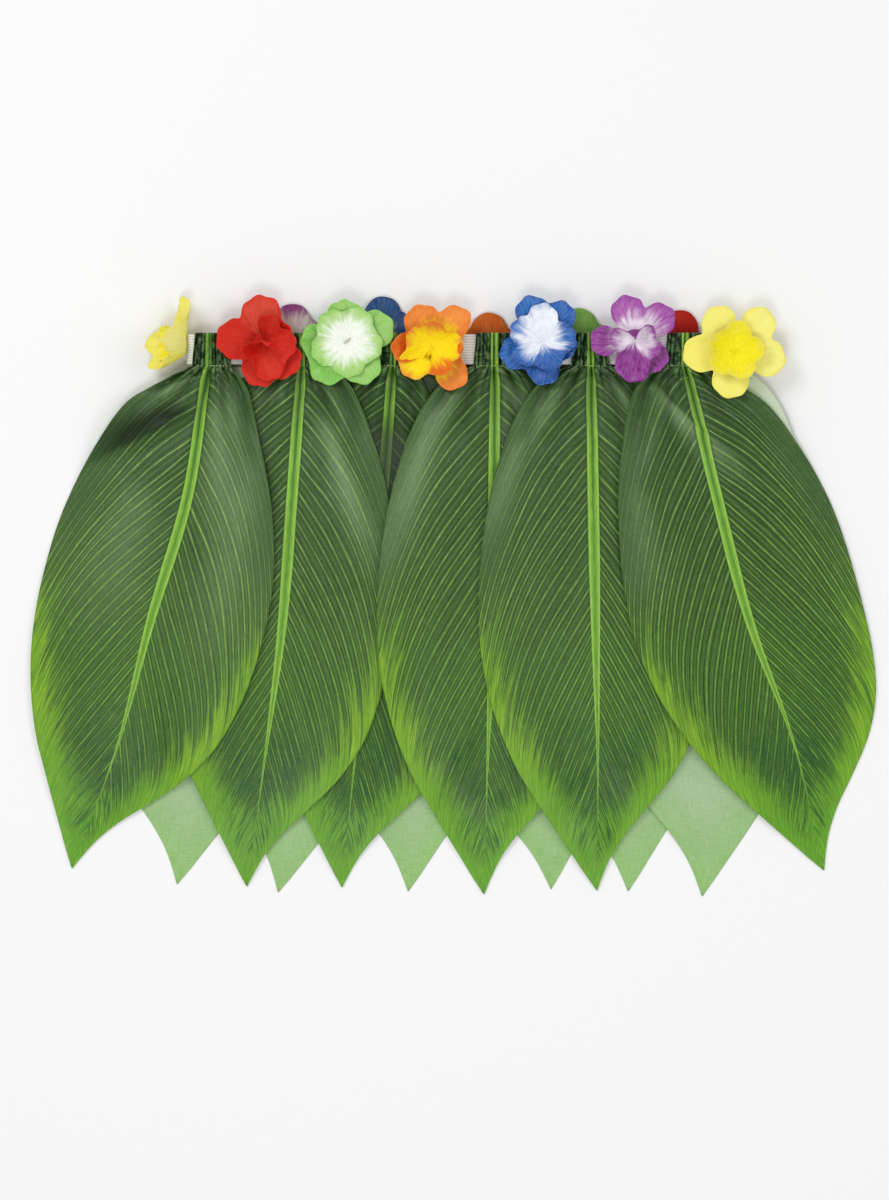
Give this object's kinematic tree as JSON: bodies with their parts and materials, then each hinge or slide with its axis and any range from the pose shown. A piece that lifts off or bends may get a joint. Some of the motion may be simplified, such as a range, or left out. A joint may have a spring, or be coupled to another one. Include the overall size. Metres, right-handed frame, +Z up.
{
  "type": "hula skirt",
  "caption": "Hula skirt laid flat: printed cloth leaves, each gathered on its own casing round a white elastic waistband, with layered cloth flowers sewn along the band.",
  "frame": {"origin": "on the floor under the middle of the flat skirt's bounding box", "axes": "+X along the waistband to the right as seen from above, +Y from the leaf tips to the waistband, +Z up from the floor"},
  "size_m": [0.5736, 0.4086, 0.0378],
  "materials": {
    "elastic": "white ribbed knitted elastic",
    "leaf_cloth": "polyester satin printed with a leaf on one face, pale green reverse",
    "red_petals": "sheer stiffened petal cloth",
    "green_petals": "sheer stiffened petal cloth, white in the middle",
    "orange_petals": "sheer stiffened petal cloth, yellow in the middle",
    "blue_petals": "sheer stiffened petal cloth, white in the middle",
    "purple_petals": "sheer stiffened petal cloth, white in the middle",
    "yellow_petals": "sheer stiffened petal cloth"
  },
  "bodies": {
    "root": {"waistband": "elastic", "leaf_back_1": "leaf_cloth", "leaf_back_2": "leaf_cloth", "leaf_back_3": "leaf_cloth", "leaf_back_4": "leaf_cloth", "leaf_back_5": "leaf_cloth", "leaf_back_6": "leaf_cloth", "leaf_front_1": "leaf_cloth", "leaf_front_2": "leaf_cloth", "leaf_front_3": "leaf_cloth", "leaf_front_4": "leaf_cloth", "leaf_front_5": "leaf_cloth", "leaf_front_6": "leaf_cloth", "flower_front_red_outer": "red_petals", "flower_front_red_inner": "red_petals", "flower_front_green_outer": "green_petals", "flower_front_green_inner": "green_petals", "flower_front_orange_outer": "orange_petals", "flower_front_orange_inner": "orange_petals", "flower_front_blue_outer": "blue_petals", "flower_front_blue_inner": "blue_petals", "flower_front_purple_outer": "purple_petals", "flower_front_purple_inner": "purple_petals", "flower_front_yellow_outer": "yellow_petals", "flower_front_yellow_inner": "yellow_petals", "flower_left_yellow_outer": "yellow_petals", "flower_left_yellow_inner": "yellow_petals", "flower_back_red_outer": "red_petals", "flower_back_red_inner": "red_petals", "flower_back_green_outer": "green_petals", "flower_back_green_inner": "green_petals", "flower_back_orange_outer": "orange_petals", "flower_back_orange_inner": "orange_petals", "flower_back_blue_outer": "blue_petals", "flower_back_blue_inner": "blue_petals", "flower_back_purple_outer": "purple_petals", "flower_back_purple_inner": "purple_petals"}
  },
  "joints": []
}
